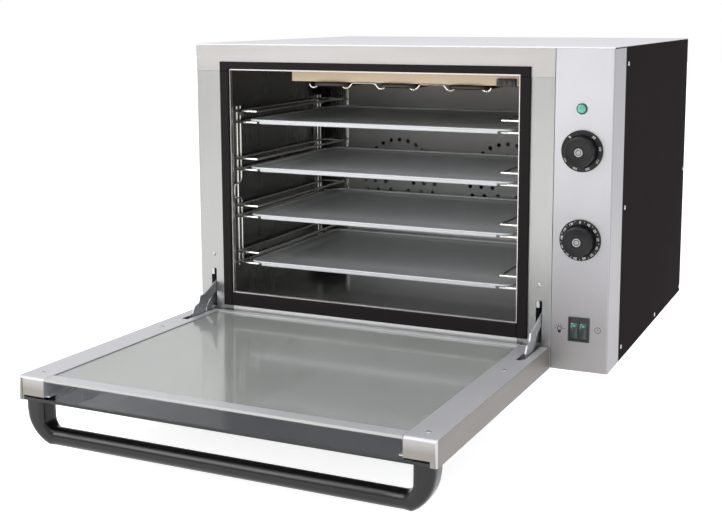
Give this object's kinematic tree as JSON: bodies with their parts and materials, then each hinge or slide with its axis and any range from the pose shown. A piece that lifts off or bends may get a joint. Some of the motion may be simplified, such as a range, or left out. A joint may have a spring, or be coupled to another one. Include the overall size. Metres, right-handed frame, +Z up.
{
  "type": "convection oven",
  "caption": "Counter-top convection oven with a drop-down glass door on stays, four sliding trays on wire racks, twin fans and side controls.",
  "frame": {"origin": "middle of the base rim's underside, level with the surface that the oven stands on", "axes": "+X to the right as seen from the front, -Y out of the door side, +Z up"},
  "size_m": [0.8376, 1.2714, 0.6395],
  "materials": {
    "stainless": "brushed stainless steel",
    "chamber_steel": "satin stainless steel, a little dull",
    "galvanised": "galvanised steel",
    "black_paint": "black powder coat",
    "seal_rubber": "matt black silicone",
    "foot_rubber": "black rubber",
    "mineral_wool": "mineral wool",
    "wire_steel": "bright welded wire",
    "tray_aluminium": "plain aluminium sheet",
    "fan_steel": "cast aluminium",
    "motor_steel": "grey paint",
    "element": "dark heating element",
    "bracket_steel": "heat-tinted steel",
    "lamp_metal": "plated steel",
    "clear_glass": "clear",
    "outer_glass": "lightly tinted",
    "black_plastic": "satin black",
    "handle_tube": "satin black coating",
    "green_plastic": "green lens",
    "control_plastic": "cream moulded plastic"
  },
  "bodies": {
    "case": {"base_pan": "galvanised", "rubber_feet": "foot_rubber", "left_side_panel": "black_paint", "right_side_panel": "black_paint", "top_cover": "stainless", "rear_panel": "galvanised", "control_panel": "stainless", "front_header": "stainless", "front_post_left": "stainless", "front_post_right": "stainless", "front_bottom_rail": "stainless", "door_seal": "seal_rubber", "mouth_lip": "stainless", "chamber_left_wall": "chamber_steel", "chamber_right_wall": "chamber_steel", "chamber_floor": "chamber_steel", "chamber_roof": "chamber_steel", "chamber_rear_wall": "chamber_steel", "insulation": "mineral_wool", "control_bulkhead": "galvanised", "fan_baffle": "chamber_steel", "fan_motors": "motor_steel", "ring_heaters": "element", "grill_element": "element", "grill_brackets": "bracket_steel", "rack_left": "wire_steel", "rack_right": "wire_steel", "chamber_studs": "wire_steel", "oven_lamp": "lamp_metal", "lamp_glass": "clear_glass", "thermostat_body": "control_plastic", "timer_body": "control_plastic", "indicator_lamp": "green_plastic", "switch_housing": "black_plastic", "terminal_block": "control_plastic", "cable_gland": "black_plastic", "hinge_boxes": "galvanised", "case_screws": "stainless"},
    "door": {"door_rails": "stainless", "door_clevises": "galvanised", "door_outer_glass": "outer_glass", "door_inner_glass": "clear_glass", "door_strips": "stainless", "door_bedding": "seal_rubber", "glass_clips": "galvanised", "handle_bar": "handle_tube", "handle_ends": "black_plastic", "door_screws": "stainless"},
    "stay_arm_left": {"stay_arm_left": "galvanised"},
    "stay_arm_right": {"stay_arm_right": "galvanised"},
    "fan_left": {"fan_left": "fan_steel"},
    "fan_right": {"fan_right": "fan_steel"},
    "thermostat_knob": {"thermostat_knob": "black_plastic"},
    "timer_knob": {"timer_knob": "black_plastic"},
    "light_rocker": {"light_rocker": "green_plastic"},
    "power_rocker": {"power_rocker": "green_plastic"},
    "tray_1": {"tray_1": "tray_aluminium"},
    "tray_2": {"tray_2": "tray_aluminium"},
    "tray_3": {"tray_3": "tray_aluminium"},
    "tray_4": {"tray_4": "tray_aluminium"}
  },
  "joints": [
    {"name": "door_hinge", "type": "hinge", "parent": "case", "child": "door", "pos_m": [-0.0515, -0.372, 0.024], "axis": [1, 0, 0], "range_deg": [-88.9, 0]},
    {"name": "stay_left_pivot", "type": "hinge", "parent": "door", "child": "stay_arm_left", "pos_m": [-0.383, -0.422, 0.028], "axis": [1, 0, 0], "range_deg": [0, 74]},
    {"name": "stay_right_pivot", "type": "hinge", "parent": "door", "child": "stay_arm_right", "pos_m": [0.295, -0.422, 0.028], "axis": [1, 0, 0], "range_deg": [0, 74]},
    {"name": "fan_left_spin", "type": "hinge", "parent": "case", "child": "fan_left", "pos_m": [-0.1685, 0.138, 0.261], "axis": [0, 1, 0], "continuous": true},
    {"name": "fan_right_spin", "type": "hinge", "parent": "case", "child": "fan_right", "pos_m": [0.0865, 0.138, 0.261], "axis": [0, 1, 0], "continuous": true},
    {"name": "thermostat_turn", "type": "hinge", "parent": "case", "child": "thermostat_knob", "pos_m": [0.364, -0.364, 0.393], "axis": [0, 1, 0], "range_deg": [0, 270]},
    {"name": "timer_turn", "type": "hinge", "parent": "case", "child": "timer_knob", "pos_m": [0.364, -0.364, 0.2365], "axis": [0, 1, 0], "range_deg": [0, 330]},
    {"name": "light_switch_tilt", "type": "hinge", "parent": "case", "child": "light_rocker", "pos_m": [0.3569, -0.344, 0.076], "axis": [1, 0, 0], "range_deg": [0, 18]},
    {"name": "power_switch_tilt", "type": "hinge", "parent": "case", "child": "power_rocker", "pos_m": [0.3731, -0.344, 0.076], "axis": [1, 0, 0], "range_deg": [0, 18]},
    {"name": "tray_1_slide", "type": "slide", "parent": "case", "child": "tray_1", "axis": [0, -1, 0], "range_m": [0, 0.4]},
    {"name": "tray_2_slide", "type": "slide", "parent": "case", "child": "tray_2", "axis": [0, -1, 0], "range_m": [0, 0.4]},
    {"name": "tray_3_slide", "type": "slide", "parent": "case", "child": "tray_3", "axis": [0, -1, 0], "range_m": [0, 0.4]},
    {"name": "tray_4_slide", "type": "slide", "parent": "case", "child": "tray_4", "axis": [0, -1, 0], "range_m": [0, 0.4]}
  ],
  "couplings": [
    {"joint": "stay_left_pivot", "follows": "door_hinge", "ratio": -0.8313},
    {"joint": "stay_right_pivot", "follows": "door_hinge", "ratio": -0.8313}
  ]
}
